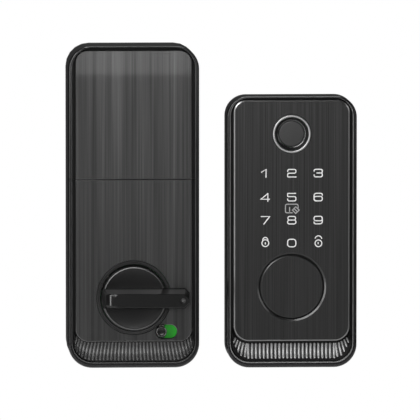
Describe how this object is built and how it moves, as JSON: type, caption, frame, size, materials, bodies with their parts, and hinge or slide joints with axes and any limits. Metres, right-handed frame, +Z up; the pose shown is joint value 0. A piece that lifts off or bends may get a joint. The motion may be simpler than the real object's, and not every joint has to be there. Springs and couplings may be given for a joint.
{
  "type": "keypad smart lock",
  "caption": "Keypad smart lock: outside unit with fingerprint reader, touch keypad and key cover, and inside unit with thumbturn, privacy slide and battery cover, shown side by side.",
  "frame": {"origin": "centre of the outside unit's back face, on the door plane", "axes": "+Z up, +Y into the door, both fronts face -Y"},
  "size_m": [0.1508, 0.102, 0.1686],
  "materials": {
    "black_casing": "satin black moulded casing",
    "brushed_panel": "dark vertical brushing under a clear coat",
    "flute_grey": "satin dark grey",
    "bright_ring": "satin chrome ring",
    "sensor_glass": "smooth dark sensor face",
    "knob_black": "semi-gloss black",
    "steel": "zinc-plated steel",
    "brass": "turned brass",
    "rubber_black": "matt rubber",
    "circuit_green": "green circuit board",
    "clear_plastic": "frosted clear plastic",
    "white_plastic": "plain white moulding",
    "gear_plastic": "natural gear plastic",
    "flag_green": "green flag",
    "flag_red": "red flag",
    "battery_sleeve": "plain printed sleeve"
  },
  "bodies": {
    "lock": {"outside_housing": "black_casing", "outside_front_plate": "brushed_panel", "outside_fluted_trim": "flute_grey", "fingerprint_ring": "bright_ring", "fingerprint_bowl": "black_casing", "fingerprint_sensor": "sensor_glass", "key_cover_hinge_pin": "steel", "key_pocket": "black_casing", "cylinder_body": "brass", "outside_backplate": "steel", "outside_gasket": "rubber_black", "backplate_screw_left": "steel", "backplate_screw_right": "steel", "mounting_post_left": "steel", "mounting_post_right": "steel", "keypad_light_guide": "clear_plastic", "keypad_circuit_board": "circuit_green", "buzzer": "black_casing", "outside_cable_socket": "white_plastic", "inside_base": "black_casing", "inside_mounting_plate": "steel", "inside_front_cover": "black_casing", "inside_front_plate": "brushed_panel", "inside_fluted_trim": "flute_grey", "battery_tray": "black_casing", "battery_1": "battery_sleeve", "battery_2": "battery_sleeve", "battery_3": "battery_sleeve", "battery_4": "battery_sleeve", "battery_spring_1": "steel", "battery_spring_2": "steel", "battery_spring_3": "steel", "battery_spring_4": "steel", "battery_contact_lower": "steel", "battery_contact_upper": "steel", "knob_recess_ring": "black_casing", "reduction_gear_axle": "steel", "motor": "steel", "gearbox_plate": "white_plastic", "main_circuit_board": "circuit_green", "inside_cable_socket": "white_plastic", "privacy_slide_switch": "white_plastic"},
    "thumbturn_set": {"thumbturn": "knob_black", "spindle": "steel", "output_gear": "gear_plastic"},
    "reduction_wheel": {"reduction_gear": "gear_plastic"},
    "pinion": {"motor_pinion": "brass"},
    "privacy_slider": {"privacy_button": "knob_black", "privacy_flag_green": "flag_green", "privacy_flag_red": "flag_red"},
    "battery_door": {"battery_cover": "black_casing", "battery_cover_plate": "brushed_panel"},
    "key_flap": {"key_cover": "brushed_panel", "key_cover_magnet": "steel"},
    "key_plug": {"cylinder_plug": "brass", "tailpiece": "steel", "cylinder_clip": "steel"}
  },
  "joints": [
    {"name": "thumbturn_turn", "type": "hinge", "parent": "lock", "child": "thumbturn_set", "pos_m": [-0.0828, 0, -0.03255], "axis": [0, -1, 0], "range_deg": [0, 90]},
    {"name": "reduction_wheel_spin", "type": "hinge", "parent": "lock", "child": "reduction_wheel", "pos_m": [-0.0708, 0, -0.01655], "axis": [0, -1, 0], "range_deg": [-360, 0]},
    {"name": "motor_pinion_spin", "type": "hinge", "parent": "lock", "child": "pinion", "pos_m": [-0.0819, 0, -0.00175], "axis": [0, -1, 0], "range_deg": [0, 1121]},
    {"name": "privacy_slide", "type": "slide", "parent": "lock", "child": "privacy_slider", "axis": [1, 0, 0], "range_m": [0, 0.0052]},
    {"name": "battery_cover_slide", "type": "slide", "parent": "lock", "child": "battery_door", "axis": [0, 0, 1], "range_m": [0, 0.072]},
    {"name": "key_cover_tilt", "type": "hinge", "parent": "lock", "child": "key_flap", "pos_m": [0, -0.0193, -0.03645], "axis": [1, 0, 0], "range_deg": [0, 80]},
    {"name": "cylinder_turn", "type": "hinge", "parent": "lock", "child": "key_plug", "pos_m": [0, 0, -0.02845], "axis": [0, -1, 0], "range_deg": [-90, 90]}
  ],
  "couplings": [
    {"joint": "reduction_wheel_spin", "follows": "thumbturn_turn", "ratio": -4},
    {"joint": "motor_pinion_spin", "follows": "thumbturn_turn", "ratio": 12.444}
  ]
}
